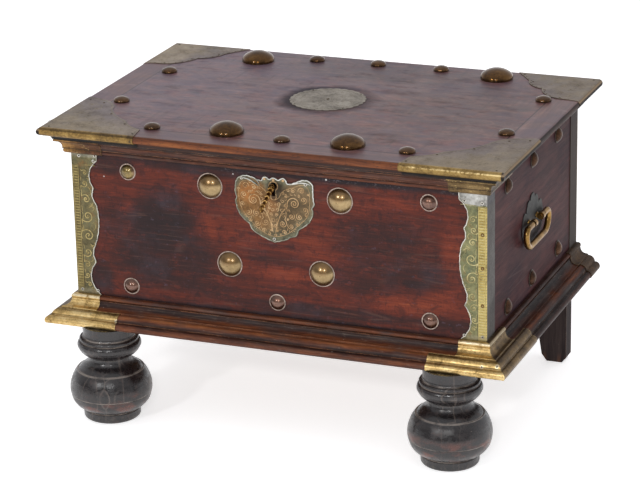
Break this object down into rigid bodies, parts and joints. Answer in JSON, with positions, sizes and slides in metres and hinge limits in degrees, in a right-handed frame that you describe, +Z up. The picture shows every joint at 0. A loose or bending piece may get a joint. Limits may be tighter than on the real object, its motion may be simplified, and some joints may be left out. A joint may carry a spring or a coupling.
{
  "type": "small brass-mounted chest",
  "caption": "Small hardwood chest with a hinged overhanging lid, moulded plinth, bun front feet, plank rear feet, brass bosses, corner straps, lock with key and drop handles.",
  "frame": {"origin": "centre of the bounding box on the floor, between the feet", "axes": "+Z up, the front with the lock faces -Y, +X to the right as seen from the front"},
  "size_m": [0.5252, 0.3868, 0.34],
  "materials": {
    "hardwood_front": "waxed, worn dark",
    "hardwood_sides": "waxed, dark",
    "hardwood_moulding": "waxed",
    "hardwood_feet": "dark, waxed",
    "hardwood_lid": "polished, worn",
    "brass_caps": "worn bright",
    "brass_engraved": "engraved, patinated",
    "brass_lid_plates": "dull, engraved",
    "brass_bosses": "polished by wear",
    "brass_washers": "worn",
    "brass_handles": "worn",
    "brass_dark_plates": "dark patina",
    "iron": "dark, oiled"
  },
  "bodies": {
    "carcass": {"back_board": "hardwood_sides", "bottom_board": "hardwood_sides", "end_boss_washers": "brass_washers", "end_bosses": "brass_bosses", "escutcheon_plate": "brass_engraved", "front_board": "hardwood_front", "front_large_bosses": "brass_bosses", "front_large_washers": "brass_washers", "front_left_bun_foot": "hardwood_feet", "front_left_corner_strap": "brass_engraved", "front_right_bun_foot": "hardwood_feet", "front_right_corner_strap": "brass_engraved", "front_small_bosses": "brass_bosses", "front_small_washers": "brass_washers", "hinge_body_straps": "iron", "hinge_pins": "iron", "left_end_board": "hardwood_sides", "left_handle_backplate": "brass_dark_plates", "left_handle_posts": "brass_handles", "lock_case": "iron", "lock_screws": "iron", "lock_spring": "iron", "plinth_back_rail": "hardwood_moulding", "plinth_cap_front_left": "brass_caps", "plinth_cap_front_right": "brass_caps", "plinth_cap_rear_left": "brass_caps", "plinth_cap_rear_right": "brass_caps", "plinth_front_rail": "hardwood_moulding", "plinth_left_rail": "hardwood_moulding", "plinth_right_rail": "hardwood_moulding", "rear_left_corner_strap": "brass_engraved", "rear_left_plank_foot": "hardwood_feet", "rear_right_corner_strap": "brass_engraved", "rear_right_plank_foot": "hardwood_feet", "right_end_board": "hardwood_sides", "right_handle_backplate": "brass_dark_plates", "right_handle_posts": "brass_handles"},
    "lid": {"lid_front_border": "hardwood_lid", "lid_hasp": "iron", "lid_large_bosses": "brass_bosses", "lid_left_border": "hardwood_lid", "lid_medallion": "brass_lid_plates", "lid_panel": "hardwood_lid", "lid_plate_back_left": "brass_lid_plates", "lid_plate_back_right": "brass_lid_plates", "lid_plate_front_left": "brass_lid_plates", "lid_plate_front_right": "brass_lid_plates", "lid_right_border": "hardwood_lid", "lid_rim_cap_front_left": "brass_caps", "lid_rim_cap_front_right": "brass_caps", "lid_rim_front": "hardwood_moulding", "lid_rim_left": "hardwood_moulding", "lid_rim_right": "hardwood_moulding", "lid_small_bosses": "brass_bosses", "hinge_lid_straps": "iron"},
    "key": {"key": "iron"},
    "lock_bolt": {"lock_bolt": "iron"},
    "left_handle_bail": {"left_handle_bail": "brass_handles"},
    "right_handle_bail": {"right_handle_bail": "brass_handles"}
  },
  "joints": [
    {"name": "lid_hinge", "type": "hinge", "parent": "carcass", "child": "lid", "pos_m": [0, 0.18843, 0.311], "axis": [-1, 0, 0], "range_deg": [0, 105]},
    {"name": "key_turn", "type": "hinge", "parent": "carcass", "child": "key", "pos_m": [0, -0.14107, 0.2815], "axis": [0, 1, 0], "range_deg": [0, 360]},
    {"name": "bolt_slide", "type": "slide", "parent": "carcass", "child": "lock_bolt", "axis": [1, 0, 0], "range_m": [0, 0.009]},
    {"name": "right_bail_swing", "type": "hinge", "parent": "carcass", "child": "right_handle_bail", "pos_m": [0.2398, 0.01593, 0.2193], "axis": [0, -1, 0], "range_deg": [0, 150]},
    {"name": "left_bail_swing", "type": "hinge", "parent": "carcass", "child": "left_handle_bail", "pos_m": [-0.2398, 0.01593, 0.2193], "axis": [0, 1, 0], "range_deg": [0, 150]}
  ],
  "couplings": [
    {"joint": "bolt_slide", "follows": "key_turn", "m_per_rad": 0.0014324}
  ]
}
